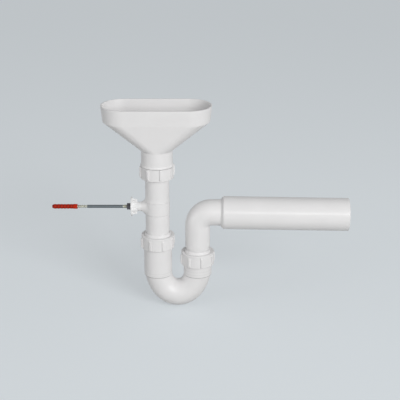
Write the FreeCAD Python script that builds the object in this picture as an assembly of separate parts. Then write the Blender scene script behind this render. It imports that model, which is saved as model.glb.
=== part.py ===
# Washing machine standpipe trap. An oval funnel stands on a 40 mm standpipe, a U-bend with two
# compression couplings holds the water seal, an elbow turns into a wide outlet spigot, and a
# moulded bracket on the standpipe is held to the wall by a hanger bolt in a nylon plug.
# Millimetres. The origin is on the wall's face, on the bolt's axis: +X leaves the wall, +Z is up.
import FreeCAD
import Part
import math
import os

# Standpipe and the fixing band moulded round it
pipe_od = 40.0
pipe_wall = 2.0
pipe_length = 197.5
pipe_standoff = 133.0
pipe_end_gap = 1.0
pipe_reach_above_nut = 7.5
band_height = 22.0
band_proud = 0.6
band_bevel = 5.0
boss_root_r = 13.0
boss_waist_r = 10.4
boss_waist_share = 0.5
boss_tip_r = 7.8
boss_length = 7.5
peg_r = 4.5
peg_to_insert = 2.1

# Male coupling ends: a socket for the pipe, a thread outside and a cone seat at the mouth
socket_clearance = 0.3
male_wall = 3.6
male_length = 16.5
male_end_gap = 1.0
relief_gap = 0.8

# Coupling nuts: the U-bend's two have a collar and a lip round the pipe, the funnel's has neither
nut_thread_clearance = 0.2
nut_pipe_clearance = 0.5
nut_wall = 2.0
nut_shoulder_step = 1.5
trap_nut_collar = 1.6
trap_nut_grip = 17.7
trap_nut_shoulder = 3.1
trap_nut_flange = 2.0
trap_nut_lip = 4.8
trap_nut_lip_root = 1.7
trap_nut_lip_tip = 0.6
funnel_nut_grip = 19.0
funnel_nut_end = 1.1
funnel_nut_flange = 2.4
collar_bevel_share = 0.7
rib_count = 8
rib_width = 3.6
rib_height = 3.3
rib_end_slope = 2.0
funnel_nut_turn = -31.0
inlet_nut_turn = -25.0
outlet_nut_turn = -30.5

# Cone seals
seal_clearance = 0.05
seal_rim_height = 3.0
seal_rim_inset = 0.7
seal_cone_height = 6.0
seal_tip_wall = 0.6

# Heights of the U-bend's nut mouths from the bolt's axis
inlet_nut_mouth_z = -71.7
outlet_nut_mouth_z = -102.0

# Funnel
funnel_length = 181.0
funnel_width = 78.0
funnel_wall = 2.4
funnel_band_height = 26.5
funnel_band_inset = 3.0
funnel_taper_height = 49.2
neck_length = 26.2
neck_step = 2.1
neck_wall = 3.0
neck_ledge_height = 4.0
neck_bead_step = 1.6
neck_bead_edge = 0.5
neck_bead_height = 3.3

# U-bend
leg_spacing = 66.8
socket_foot_z = -120.0
socket_wall = 3.2
bend_wall = 3.0
bend_stop = 0.75
bend_stop_rise = 1.0
lean_start = 7.0
lean_r = 55.0
lean_deg = 30.0

# Outlet elbow and spigot
outlet_axis_z = -10.6
outlet_fall_deg = 1.0
elbow_wall = 2.0
elbow_growth = 2.0
elbow_crotch = 1.0
elbow_sections = 7
stub_length = 15.0
reducer_length = 4.0
spigot_od = 55.0
spigot_wall = 2.5
spigot_length = 209.5
spigot_chamfer = 1.2

# Wall bracket
bracket_length = 16.6
bracket_flange_r = 16.2
bracket_flange = 2.4
bracket_hub_r = 7.6
gusset_count = 8
gusset_width = 2.0
gusset_root_r = 13.4
gusset_end_r = 11.8
gusset_length = 8.2
peg_clearance = 0.1
insert_r = 4.3
insert_length = 10.0
insert_clearance = 0.05
insert_groove = 0.5
insert_groove_width = 2.4

# Hanger bolt, washer and lock nut
bolt_thread_r = 3.0
bolt_thread_clearance = 0.05
bolt_thread_length = 22.0
bolt_end_gap = 1.0
shank_r = 2.65
wood_thread_r = 2.6
wood_thread_length = 52.0
wood_point_length = 6.0
wood_point_r = 0.6
wood_thread_shown = 16.0
washer_r = 6.0
washer_thickness = 1.6
lock_nut_flats = 10.0
lock_nut_height = 5.0
lock_nut_sides = 6
lock_nut_chamfer_deg = 30.0

# Wall plug
plug_r = 4.0
plug_length = 42.0
plug_plain_length = 7.0
plug_bore_clearance = 0.1
plug_tip_length = 3.0
plug_tip_r = 2.6
plug_teeth = 6
plug_tooth_depth = 0.9
plug_slit_width = 0.9
plug_slit_margin = 2.0

Vec = FreeCAD.Vector
ORIGIN = Vec(0, 0, 0)
UP = Vec(0, 0, 1)
ACROSS = Vec(0, 1, 0)

# Sizes that follow from the ones above
pipe_r = pipe_od / 2
pipe_bore_r = pipe_r - pipe_wall
socket_bore_r = pipe_r + socket_clearance
male_r = socket_bore_r + male_wall
nut_bore_r = male_r + nut_thread_clearance
nut_panel_r = nut_bore_r + nut_wall
nut_shoulder_r = nut_panel_r + nut_shoulder_step
nut_hole_r = pipe_r + nut_pipe_clearance
trap_nut_depth = trap_nut_collar + trap_nut_grip + trap_nut_shoulder - trap_nut_flange
funnel_nut_depth = funnel_nut_grip + funnel_nut_end - funnel_nut_flange
seal_rim_r = male_r - seal_rim_inset
seal_tip_r = pipe_r + seal_tip_wall
seal_tip = -seal_rim_height - seal_cone_height
male_end = -seal_rim_height - male_end_gap
seat_slope = (seal_rim_r - seal_tip_r) / seal_cone_height
stop_z = socket_foot_z + bend_stop_rise
lean_top_z = socket_foot_z + lean_start
pipe_bottom_z = stop_z + pipe_end_gap
pipe_top_z = pipe_bottom_z + pipe_length
funnel_nut_mouth_z = pipe_top_z - pipe_reach_above_nut
funnel_seal_z = funnel_nut_mouth_z - funnel_nut_depth
inlet_seal_z = inlet_nut_mouth_z + trap_nut_depth
outlet_seal_z = outlet_nut_mouth_z + trap_nut_depth
outlet_x = pipe_standoff + leg_spacing
boss_face_x = pipe_standoff - pipe_r - boss_length
bracket_face_x = boss_face_x - bracket_length
bolt_end_x = bracket_face_x + insert_length - bolt_end_gap
peg_length = bracket_length - insert_length - peg_to_insert


def turned(profile):
    """A solid of revolution about Z from (radius, height) corners, listed round the section."""
    corners = [Vec(r, 0, z) for r, z in profile]
    section = Part.Face(Part.makePolygon(corners + corners[:1]))
    return section.revolve(ORIGIN, UP, 360)


def laid_along_x(shape, x=0.0):
    """Turns a shape made about Z so that its axis lies along +X, and moves it to x."""
    laid = shape.copy()
    laid.rotate(ORIGIN, ACROSS, 90)
    laid.translate(Vec(x, 0, 0))
    return laid


def rod(radius, bottom, top):
    """A plain cylinder about Z between two heights."""
    return Part.makeCylinder(radius, top - bottom, Vec(0, 0, bottom))


def seat_r(height):
    """Radius of the cone seat at a height from the seal's back."""
    return seal_tip_r + seal_clearance + (height - seal_tip) * seat_slope


def male_outside():
    """Outside of a coupling's threaded end, up to its end face below the seal's rim."""
    return rod(male_r, male_end - male_length, male_end)


def male_inside():
    """The room inside a coupling's end: the pipe's socket, opening into the cone seat."""
    seat_bottom = seal_tip - (seal_tip_r + seal_clearance - socket_bore_r) / seat_slope
    past_end = male_end + male_end_gap
    return turned([
        (0, male_end - male_length),
        (socket_bore_r, male_end - male_length),
        (socket_bore_r, seat_bottom),
        (seat_r(past_end), past_end),
        (0, past_end),
    ])


def coupling_nut(turn, collar, ribs_bottom, ribs_top, depth, closed_end):
    """One coupling nut, mouth down on Z = 0, with ribs between two heights and a bore as deep as
    the seal's back. collar and closed_end are (radius, height) corners below and above the ribs."""
    body = turned([
        (nut_bore_r, 0),
        (nut_panel_r, 0),
        *collar,
        (nut_panel_r, ribs_top),
        *closed_end,
        (nut_hole_r, depth),
        (nut_bore_r, depth),
    ])
    root_r = (nut_bore_r + nut_panel_r) / 2
    tip_r = nut_panel_r + rib_height
    corners = [
        Vec(root_r, -rib_width / 2, ribs_bottom),
        Vec(tip_r, -rib_width / 2, ribs_bottom),
        Vec(tip_r, -rib_width / 2, ribs_top - rib_end_slope),
        Vec(tip_r - rib_end_slope, -rib_width / 2, ribs_top),
        Vec(root_r, -rib_width / 2, ribs_top),
    ]
    rib = Part.Face(Part.makePolygon(corners + corners[:1])).extrude(Vec(0, rib_width, 0))
    rib = rib.common(rod(tip_r, ribs_bottom, ribs_top))
    ribs = []
    for index in range(rib_count):
        copy = rib.copy()
        copy.rotate(ORIGIN, UP, turn - 90 + index * 360 / rib_count)
        ribs.append(copy)
    return body.multiFuse(ribs).removeSplitter()


def trap_nut(turn):
    """A nut of the U-bend: a bevelled collar, a smooth shoulder and a tapered lip round the pipe."""
    ribs_top = trap_nut_collar + trap_nut_grip
    shoulder_top = ribs_top + trap_nut_shoulder
    lip_top = shoulder_top + trap_nut_lip
    collar = [
        (nut_shoulder_r, trap_nut_collar * collar_bevel_share),
        (nut_shoulder_r, trap_nut_collar),
        (nut_panel_r, trap_nut_collar),
    ]
    closed_end = [
        (nut_shoulder_r, ribs_top),
        (nut_shoulder_r, shoulder_top),
        (nut_hole_r + trap_nut_lip_root, shoulder_top),
        (nut_hole_r + trap_nut_lip_tip, lip_top),
        (nut_hole_r, lip_top),
    ]
    return coupling_nut(turn, collar, trap_nut_collar, ribs_top, trap_nut_depth, closed_end)


def funnel_nut():
    """The funnel's nut: ribs from its mouth to a flat closed end round the pipe."""
    end = funnel_nut_grip + funnel_nut_end
    closed_end = [(nut_shoulder_r, funnel_nut_grip), (nut_shoulder_r, end), (nut_hole_r, end)]
    return coupling_nut(-funnel_nut_turn, [], 0, funnel_nut_grip, funnel_nut_depth, closed_end)


def cone_seal():
    """A soft ring that the nut presses into the cone seat and against the pipe."""
    inside = pipe_r + seal_clearance
    tip = seal_tip + seal_clearance
    return turned([
        (inside, tip),
        (seal_tip_r, tip),
        (seal_rim_r, -seal_rim_height),
        (seal_rim_r, -seal_clearance),
        (inside, -seal_clearance),
    ])


def at_leg(shape, x, z):
    """Places a coupling piece that faces up on a leg's axis, with its own zero at a height."""
    placed = shape.copy()
    placed.translate(Vec(x, 0, z))
    return placed


def at_funnel(shape, z):
    """Places a coupling piece upside down under the funnel, with its own zero at a height."""
    placed = shape.copy()
    placed.rotate(ORIGIN, Vec(1, 0, 0), 180)
    placed.translate(Vec(pipe_standoff, 0, z))
    return placed


def obround_edges(length, width, z):
    """Right arc, back line, left arc and front line of an obround about the standpipe's axis."""
    r = width / 2
    half = length / 2 - r
    right = Part.Arc(Vec(half, -r, z), Vec(half + r, 0, z), Vec(half, r, z)).toShape()
    back = Part.LineSegment(Vec(half, r, z), Vec(-half, r, z)).toShape()
    left = Part.Arc(Vec(-half, r, z), Vec(-half - r, 0, z), Vec(-half, -r, z)).toShape()
    front = Part.LineSegment(Vec(-half, -r, z), Vec(half, -r, z)).toShape()
    return right, back, left, front


def drafted_band(top, bottom):
    """The upright band between two obrounds, each given as (length, width, z)."""
    wires = [Part.Wire(obround_edges(*ring)) for ring in (bottom, top)]
    return Part.makeLoft(wires, True, True)


def taper_to_round(top, neck_r, neck_z):
    """An obround drawn in to a circle: two oblique half cones and two flat triangles."""
    length, width, z = top
    half = length / 2 - width / 2
    right, back, left, front = obround_edges(length, width, z)
    neck_back = Vec(0, neck_r, neck_z)
    neck_front = Vec(0, -neck_r, neck_z)
    neck_right = Part.Arc(neck_front, Vec(neck_r, 0, neck_z), neck_back).toShape()
    neck_left = Part.Arc(neck_back, Vec(-neck_r, 0, neck_z), neck_front).toShape()
    faces = [
        Part.makeRuledSurface(right, neck_right),
        Part.makeRuledSurface(left, neck_left),
        Part.Face(Part.Wire([right, back, left, front])),
        Part.Face(Part.Wire([neck_right, neck_left])),
    ]
    for y, tip in ((width / 2, neck_back), (-width / 2, neck_front)):
        corners = [Vec(half, y, z), Vec(-half, y, z), tip]
        faces.append(Part.Face(Part.makePolygon(corners + corners[:1])))
    shell = Part.makeShell(faces)
    shell.sewShape()
    return Part.makeSolid(shell)


def funnel():
    """The oval hopper with its neck, a bead at its foot, and the threaded end that points down."""
    neck_bottom = funnel_nut_mouth_z + relief_gap
    neck_top = neck_bottom + neck_length
    taper_top = neck_top + funnel_taper_height
    rim = taper_top + funnel_band_height
    foot_length = funnel_length - 2 * funnel_band_inset
    foot_width = funnel_width - 2 * funnel_band_inset
    neck_r = male_r + neck_step
    neck_bore_r = neck_r - neck_wall
    slope = math.atan2(funnel_taper_height, foot_length / 2 - neck_r)
    lift = funnel_wall * (1 - math.sin(slope)) / math.cos(slope)
    inset = 2 * funnel_wall
    outer_foot = (foot_length, foot_width, taper_top)
    inner_foot = (foot_length - inset, foot_width - inset, taper_top + lift)
    inner_rim = (funnel_length - inset, funnel_width - inset, rim)
    outside = [
        drafted_band((funnel_length, funnel_width, rim), outer_foot),
        taper_to_round(outer_foot, neck_r, neck_top),
        rod(neck_r, neck_bottom, neck_top),
        turned([
            (0, neck_bottom),
            (neck_r + neck_bead_step, neck_bottom),
            (neck_r + neck_bead_step, neck_bottom + neck_bead_edge),
            (neck_r, neck_bottom + neck_bead_height),
            (0, neck_bottom + neck_bead_height),
        ]),
    ]
    inside = [
        drafted_band(inner_rim, inner_foot),
        taper_to_round(inner_foot, neck_bore_r, neck_top + lift),
        rod(neck_bore_r, neck_bottom + neck_ledge_height, neck_top + lift),
        turned([
            (0, neck_bottom - relief_gap),
            (socket_bore_r, neck_bottom - relief_gap),
            (socket_bore_r, neck_bottom),
            (neck_bore_r, neck_bottom + neck_ledge_height),
            (0, neck_bottom + neck_ledge_height),
        ]),
    ]
    axis = Vec(pipe_standoff, 0, 0)
    solid = outside[0].multiFuse(outside[1:])
    room = inside[0].multiFuse(inside[1:])
    solid.translate(axis)
    room.translate(axis)
    solid = solid.fuse(at_funnel(male_outside(), funnel_seal_z))
    room = room.fuse(at_funnel(male_inside(), funnel_seal_z))
    return solid.cut(room).removeSplitter()


def inlet_pipe():
    """The standpipe with the fixing band and its boss, which is pegged into the bracket."""
    tube = rod(pipe_r, pipe_bottom_z, pipe_top_z)
    band_r = pipe_r + band_proud
    band = turned([
        (0, -band_height / 2),
        (band_r, -band_height / 2),
        (band_r, band_height / 2),
        (pipe_r, band_height / 2 + band_bevel),
        (0, band_height / 2 + band_bevel),
    ])
    boss_inner_end = boss_length + pipe_r - math.sqrt(pipe_r ** 2 - boss_root_r ** 2)
    boss = turned([
        (0, -peg_length),
        (peg_r, -peg_length),
        (peg_r, 0),
        (boss_tip_r, 0),
        (boss_waist_r, boss_length * boss_waist_share),
        (boss_root_r, boss_length),
        (boss_root_r, boss_inner_end),
        (0, boss_inner_end),
    ])
    tube.translate(Vec(pipe_standoff, 0, 0))
    band.translate(Vec(pipe_standoff, 0, 0))
    bore = rod(pipe_bore_r, pipe_bottom_z, pipe_top_z)
    bore.translate(Vec(pipe_standoff, 0, 0))
    solid = tube.multiFuse([band, laid_along_x(boss, boss_face_x)])
    return solid.cut(bore).removeSplitter()


def lean_arc(disc, x, way):
    """The arc of tube under the leg at x, leaning towards the other leg."""
    start = disc.copy()
    start.translate(Vec(x, 0, lean_top_z))
    return start.revolve(Vec(x + way * lean_r, 0, lean_top_z), -ACROSS * way, lean_deg)


def u_run(radius):
    """The tube between the two legs: an arc that leans in under each leg and a tighter one below."""
    disc = Part.Face(Part.Wire(Part.Circle(ORIGIN, UP, radius).toShape()))
    lean = math.radians(lean_deg)
    low_r = (leg_spacing / 2 - lean_r * (1 - math.cos(lean))) / math.cos(lean)
    low_centre = Vec(pipe_standoff + leg_spacing / 2, 0, lean_top_z - (lean_r - low_r) * math.sin(lean))
    low_start = disc.copy()
    low_start.translate(low_centre - Vec(low_r, 0, 0))
    low_start.rotate(low_centre, -ACROSS, lean_deg)
    low_arc = low_start.revolve(low_centre, -ACROSS, 180 - 2 * lean_deg)
    return low_arc.multiFuse([lean_arc(disc, pipe_standoff, 1), lean_arc(disc, outlet_x, -1)])


def trap_bend():
    """The U-bend: two socket legs with threaded ends, stepped in at their feet to a run of tube."""
    bore_r = pipe_r - bend_stop
    outside = [u_run(bore_r + bend_wall)]
    inside = [u_run(bore_r)]
    for x, seal_z in ((pipe_standoff, inlet_seal_z), (outlet_x, outlet_seal_z)):
        end_z = seal_z + male_end
        outside.append(at_leg(male_outside(), x, seal_z))
        outside.append(at_leg(rod(socket_bore_r + socket_wall, socket_foot_z, end_z), x, 0))
        inside.append(at_leg(male_inside(), x, seal_z))
        inside.append(at_leg(rod(socket_bore_r, stop_z, end_z - male_length), x, 0))
    solid = outside[0].multiFuse(outside[1:])
    room = inside[0].multiFuse(inside[1:])
    return solid.cut(room).removeSplitter()


def elbow_form(leg_r, stub_r, end_r):
    """The elbow's form at one skin: leg, a bend that widens, stub, reducer and spigot."""
    radius = pipe_r + elbow_growth + elbow_crotch
    start_z = outlet_axis_z - radius
    turn = 90 + outlet_fall_deg
    sections = []
    for index in range(elbow_sections):
        share = index / (elbow_sections - 1)
        angle = math.radians(turn * share)
        r = leg_r + (stub_r - leg_r) * (1 - math.cos(math.pi * share)) / 2
        ring = Part.Wire(Part.Circle(ORIGIN, UP, r).toShape())
        ring.rotate(ORIGIN, ACROSS, turn * share)
        ring.translate(Vec(radius * (1 - math.cos(angle)), 0, start_z + radius * math.sin(angle)))
        sections.append(ring)
    bend = Part.makeLoft(sections, True, False)
    run = turned([
        (0, 0),
        (stub_r, 0),
        (stub_r, stub_length),
        (end_r, stub_length + reducer_length),
        (end_r, stub_length + reducer_length + spigot_length),
        (0, stub_length + reducer_length + spigot_length),
    ])
    run.rotate(ORIGIN, ACROSS, turn)
    end = math.radians(turn)
    run.translate(Vec(radius * (1 - math.cos(end)), 0, start_z + radius * math.sin(end)))
    form = rod(leg_r, pipe_bottom_z, start_z).multiFuse([bend, run])
    form.translate(Vec(outlet_x, 0, 0))
    return form


def outlet_elbow():
    """The outlet elbow and its wide spigot, moulded as one."""
    stub_r = pipe_r + elbow_growth
    spigot_r = spigot_od / 2
    outside = elbow_form(pipe_r, stub_r, spigot_r)
    inside = elbow_form(pipe_bore_r, stub_r - elbow_wall, spigot_r - spigot_wall)
    solid = outside.cut(inside)
    rims = [e for e in solid.Edges if is_spigot_rim(e, spigot_r)]
    return solid.makeChamfer(spigot_chamfer, rims)


def is_spigot_rim(edge, spigot_r):
    """True for the outer edge at the spigot's open end."""
    far_x = outlet_x + stub_length + reducer_length + spigot_length
    closed = isinstance(edge.Curve, Part.Circle) and edge.isClosed()
    return closed and abs(edge.Curve.Radius - spigot_r) < spigot_wall / 2 and edge.CenterOfMass.x > far_x


def wall_bracket():
    """A flanged hub with gussets, pegged to the standpipe's boss and bored for its insert."""
    gusset_end = bracket_flange + gusset_length
    hub = turned([
        (0, 0),
        (bracket_flange_r, 0),
        (bracket_flange_r, bracket_flange),
        (bracket_hub_r, bracket_flange),
        (bracket_hub_r, (gusset_end + bracket_length) / 2),
        (boss_tip_r, bracket_length),
        (0, bracket_length),
    ])
    corners = [
        Vec(0, -gusset_width / 2, bracket_flange / 2),
        Vec(gusset_root_r, -gusset_width / 2, bracket_flange / 2),
        Vec(gusset_root_r, -gusset_width / 2, bracket_flange),
        Vec(gusset_end_r, -gusset_width / 2, gusset_end),
        Vec(0, -gusset_width / 2, gusset_end),
    ]
    gusset = Part.Face(Part.makePolygon(corners + corners[:1])).extrude(Vec(0, gusset_width, 0))
    gussets = []
    for index in range(gusset_count):
        copy = gusset.copy()
        copy.rotate(ORIGIN, UP, index * 360 / gusset_count)
        gussets.append(copy)
    insert_room = rod(insert_r + insert_clearance, 0, insert_length)
    peg_room = rod(peg_r + peg_clearance, bracket_length - peg_length - peg_clearance, bracket_length)
    solid = hub.multiFuse(gussets).cut(insert_room).cut(peg_room).removeSplitter()
    return laid_along_x(solid, bracket_face_x)


def bracket_insert():
    """The threaded brass bush moulded into the bracket, waisted so that it can't pull out."""
    bore_r = bolt_thread_r + bolt_thread_clearance
    middle = insert_length / 2
    waist_r = insert_r - insert_groove
    solid = turned([
        (bore_r, 0),
        (insert_r, 0),
        (insert_r, middle - insert_groove_width / 2),
        (waist_r, middle - insert_groove_width / 2),
        (waist_r, middle + insert_groove_width / 2),
        (insert_r, middle + insert_groove_width / 2),
        (insert_r, insert_length),
        (bore_r, insert_length),
    ])
    return laid_along_x(solid, bracket_face_x)


def washer():
    """A plain steel washer against the bracket's flange."""
    bore_r = bolt_thread_r + bolt_thread_clearance
    ring = rod(washer_r, -washer_thickness, 0).cut(rod(bore_r, -washer_thickness, 0))
    return laid_along_x(ring, bracket_face_x)


def lock_nut():
    """A hexagon nut that locks the bolt against the washer, with both ends chamfered."""
    flat_r = lock_nut_flats / 2
    corner_r = flat_r / math.cos(math.pi / lock_nut_sides)
    chamfer = (corner_r - flat_r) * math.tan(math.radians(lock_nut_chamfer_deg))
    corners = []
    for index in range(lock_nut_sides):
        angle = 2 * math.pi * index / lock_nut_sides
        corners.append(Vec(corner_r * math.cos(angle), corner_r * math.sin(angle), 0))
    prism = Part.Face(Part.makePolygon(corners + corners[:1])).extrude(Vec(0, 0, lock_nut_height))
    turned_blank = turned([
        (bolt_thread_r + bolt_thread_clearance, 0),
        (flat_r, 0),
        (corner_r, chamfer),
        (corner_r, lock_nut_height - chamfer),
        (flat_r, lock_nut_height),
        (bolt_thread_r + bolt_thread_clearance, lock_nut_height),
    ])
    return laid_along_x(prism.common(turned_blank), bracket_face_x - washer_thickness - lock_nut_height)


def hanger_bolt():
    """A rolled steel bolt: wood thread and point in the plug, plain shank, machine thread."""
    point_x = wood_thread_shown - wood_thread_length
    return laid_along_x(turned([
        (0, point_x),
        (wood_point_r, point_x),
        (wood_thread_r, point_x + wood_point_length),
        (wood_thread_r, wood_thread_shown),
        (shank_r, wood_thread_shown),
        (shank_r, bolt_end_x - bolt_thread_length),
        (bolt_thread_r, bolt_end_x - bolt_thread_length),
        (bolt_thread_r, bolt_end_x),
        (0, bolt_end_x),
    ]))


def wall_plug():
    """A split nylon plug: plain behind the wall's face, then saw teeth and a rounded tip."""
    tooth_pitch = (plug_length - plug_plain_length - plug_tip_length) / plug_teeth
    outline = [(0, 0), (plug_r, 0), (plug_r, -plug_plain_length)]
    for index in range(plug_teeth):
        start = -plug_plain_length - index * tooth_pitch
        outline.append((plug_r - plug_tooth_depth, start))
        outline.append((plug_r, start - tooth_pitch))
    outline.append((plug_tip_r, -plug_length))
    outline.append((0, -plug_length))
    bore_end = wood_thread_shown - wood_thread_length - plug_bore_clearance
    bore = rod(wood_thread_r + plug_bore_clearance, bore_end, 0)
    slit_top = -plug_plain_length - plug_slit_margin
    slit = Part.makeBox(
        2 * plug_r, plug_slit_width, slit_top + plug_length - plug_tip_length,
        Vec(-plug_r, -plug_slit_width / 2, plug_tip_length - plug_length))
    return laid_along_x(turned(outline).cut(bore).cut(slit))


NODES = {
    "funnel": funnel(),
    "funnel_nut": at_funnel(funnel_nut(), funnel_nut_mouth_z),
    "funnel_seal": at_funnel(cone_seal(), funnel_seal_z),
    "inlet_pipe": inlet_pipe(),
    "inlet_nut": at_leg(trap_nut(inlet_nut_turn), pipe_standoff, inlet_nut_mouth_z),
    "inlet_seal": at_leg(cone_seal(), pipe_standoff, inlet_seal_z),
    "trap_bend": trap_bend(),
    "outlet_nut": at_leg(trap_nut(outlet_nut_turn), outlet_x, outlet_nut_mouth_z),
    "outlet_seal": at_leg(cone_seal(), outlet_x, outlet_seal_z),
    "outlet_elbow": outlet_elbow(),
    "wall_bracket": wall_bracket(),
    "bracket_insert": bracket_insert(),
    "washer": washer(),
    "lock_nut": lock_nut(),
    "hanger_bolt": hanger_bolt(),
    "wall_plug": wall_plug(),
}

os.makedirs("parts", exist_ok=True)
for name, shape in NODES.items():
    shape.exportStep("parts/" + name + ".step")
    box = shape.BoundBox
    print(f"{name}: {len(shape.Solids)} solid, valid {shape.isValid()}, {shape.Volume / 1000:.2f} cm3, "
          f"x {box.XMin:.1f} to {box.XMax:.1f}, z {box.ZMin:.1f} to {box.ZMax:.1f}")
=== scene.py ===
import bmesh
import bpy
import numpy as np
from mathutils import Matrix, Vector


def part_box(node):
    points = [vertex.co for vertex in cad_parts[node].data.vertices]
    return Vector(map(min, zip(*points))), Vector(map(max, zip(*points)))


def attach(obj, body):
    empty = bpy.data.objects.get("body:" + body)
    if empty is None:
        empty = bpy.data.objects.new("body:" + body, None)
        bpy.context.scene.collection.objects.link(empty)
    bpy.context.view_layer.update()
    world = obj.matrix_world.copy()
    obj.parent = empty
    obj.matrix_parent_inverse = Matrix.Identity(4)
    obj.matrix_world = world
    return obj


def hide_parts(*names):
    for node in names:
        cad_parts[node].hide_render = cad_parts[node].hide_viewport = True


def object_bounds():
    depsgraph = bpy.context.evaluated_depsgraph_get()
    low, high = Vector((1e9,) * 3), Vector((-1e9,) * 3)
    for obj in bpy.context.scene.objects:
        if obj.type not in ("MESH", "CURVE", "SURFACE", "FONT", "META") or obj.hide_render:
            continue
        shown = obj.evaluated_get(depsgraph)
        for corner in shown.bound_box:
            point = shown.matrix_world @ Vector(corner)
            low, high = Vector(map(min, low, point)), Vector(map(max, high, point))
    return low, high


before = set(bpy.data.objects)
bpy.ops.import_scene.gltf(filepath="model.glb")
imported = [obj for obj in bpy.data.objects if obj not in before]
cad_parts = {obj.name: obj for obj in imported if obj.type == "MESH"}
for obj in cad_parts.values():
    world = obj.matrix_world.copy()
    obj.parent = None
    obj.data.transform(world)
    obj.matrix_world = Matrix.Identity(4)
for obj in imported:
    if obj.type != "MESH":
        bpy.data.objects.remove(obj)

cad_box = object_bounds()

# Standpipe. A 40 mm polypropylene pipe, injection moulded with a slightly proud fixing band round
# its middle, set off by two narrow joints. It is pushed into the funnel's neck and the U-bend.
MM = 0.001
pipe_x = 133.0
pipe_r = 20.0
pipe_bore_r = 18.0
pipe_low, pipe_high = (corner[2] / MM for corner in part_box("inlet_pipe"))
band_r = 20.6
band_half = 11.0
band_bevel = 5.0
joint_width = 0.7
joint_depth = 0.6
# Shade painted into the two joints: the share of shade tone in the lower joint and in the upper one.
joint_shade = 0.3
upper_joint_depth = 0.2
upper_joint_shade = 0.05
pipe_row_step = 4.0
pipe_columns = 144

# How far a corner is eased: a joint's floor, a small step, a joint's lip, a moulded edge, a pipe's
# end and the band's bevel.
floor_cut = 0.1
step_cut = 0.12
lip_cut = 0.15
edge_cut = 0.3
end_cut = 0.5
bevel_cut = 1.0


def linear(code):
    """An sRGB hex colour as linear red, green, blue and full alpha."""
    share = np.array([int(code[at:at + 2], 16) for at in (1, 3, 5)]) / 255
    light = np.where(share <= 0.04045, share / 12.92, ((share + 0.055) / 1.055) ** 2.4)
    return (*light.tolist(), 1.0)


def add_node(tree, kind, sockets, **options):
    """Adds a shader node. A socket is given another node's output to link, or a value to set. A Mix
    node of colours has its factor at socket 0, its two colours at 6 and 7, and its result at 2."""
    made = tree.nodes.new(kind)
    for option, value in options.items():
        setattr(made, option, value)
    for socket, value in sockets.items():
        if isinstance(value, bpy.types.NodeSocket):
            tree.links.new(value, made.inputs[socket])
        else:
            made.inputs[socket].default_value = value
    return made


def bare_material(name):
    """A material with an empty node tree, that tree, and the place that its patterns read."""
    material = bpy.data.materials.new(name)
    material.use_nodes = True
    tree = material.node_tree
    tree.nodes.clear()
    return material, tree, add_node(tree, "ShaderNodeTexCoord", {}).outputs["Object"]


def moulded_plastic(name, pale, deep, painted_shade_tone, roughness, ior=1.49):
    """Injection moulded plastic: the melt cools unevenly, so tone and gloss drift over a few
    centimetres, and the spark-eroded mould leaves a fine grain. The grain is really about
    0.1 mm across and is drawn at 0.7 mm, so that it shows. Shade is painted into joints and
    grooves: the colour turns towards the shade tone where the mesh's painted shade value is
    above 0. A polished mould leaves a smoother skin, where its polish is."""
    drift_size = 35 * MM
    grain_size = 0.7 * MM
    grain_depth = 0.04 * MM
    gloss_drift = 0.08
    polish_gain = 0.18
    material, tree, place = bare_material(name)
    drift = add_node(tree, "ShaderNodeTexNoise", {"Vector": place, "Scale": 1 / drift_size, "Detail": 3.0})
    grain = add_node(tree, "ShaderNodeTexNoise", {"Vector": place, "Scale": 1 / grain_size, "Detail": 2.0})
    tone = add_node(tree, "ShaderNodeMix", {0: drift.outputs["Fac"], 6: linear(deep), 7: linear(pale)},
                    data_type="RGBA")
    # Painted shade: the mesh's per-point value mixes the tone towards the shade colour.
    painted_shade = add_node(tree, "ShaderNodeAttribute", {}, attribute_name="painted_shade").outputs["Fac"]
    tone = add_node(tree, "ShaderNodeMix", {0: painted_shade, 6: tone.outputs[2], 7: linear(painted_shade_tone)},
                    data_type="RGBA")
    gloss = add_node(tree, "ShaderNodeMapRange", {
        "Value": drift.outputs["Fac"],
        "To Min": roughness + gloss_drift, "To Max": roughness - gloss_drift})
    polish = add_node(tree, "ShaderNodeAttribute", {}, attribute_name="polish").outputs["Fac"]
    gloss = add_node(tree, "ShaderNodeMath", {0: polish, 1: -polish_gain, 2: gloss.outputs["Result"]},
                     operation="MULTIPLY_ADD")
    relief = add_node(tree, "ShaderNodeBump", {
        "Height": grain.outputs["Fac"], "Strength": 0.25, "Distance": grain_depth})
    surface = add_node(tree, "ShaderNodeBsdfPrincipled", {
        "Base Color": tone.outputs[2], "Roughness": gloss.outputs[0],
        "Normal": relief.outputs["Normal"], "IOR": ior})
    add_node(tree, "ShaderNodeOutputMaterial", {"Surface": surface.outputs["BSDF"]})
    return material


def eased(corners, steps=6, guard=1.4):
    """A closed outline with its corners eased. A row is the corner's place and its cut: the curve
    leaves one side that far before the corner and joins the next that far after it, along a
    parabola, and one more point on each side, guard cuts away, keeps the flat next to it flat."""
    rows = np.array(corners, float)
    place, cut = rows[:, :-1], rows[:, -1:]
    back = np.roll(place, 1, 0) - place
    ahead = np.roll(place, -1, 0) - place
    back = back / np.linalg.norm(back, axis=1, keepdims=True) * cut
    ahead = ahead / np.linalg.norm(ahead, axis=1, keepdims=True) * cut
    t = np.linspace(0, 1, steps)[None, :, None]
    bow = place[:, None] + (1 - t) ** 2 * back[:, None] + t ** 2 * ahead[:, None]
    full = np.concatenate([(place + guard * back)[:, None], bow, (place + guard * ahead)[:, None]], axis=1)
    return full.reshape(-1, place.shape[1])


def filled(outline, step):
    """Adds evenly spaced points to a closed outline, so that none is further than step from the
    next."""
    ahead = np.roll(outline, -1, 0) - outline
    parts = np.maximum(1, np.ceil(np.linalg.norm(ahead, axis=1) / step)).astype(int)
    start = np.repeat(np.arange(len(outline)), parts)
    share = (np.arange(parts.sum()) - np.repeat(np.cumsum(parts) - parts, parts)) / parts[start]
    return outline[start] + ahead[start] * share[:, None]


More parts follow.
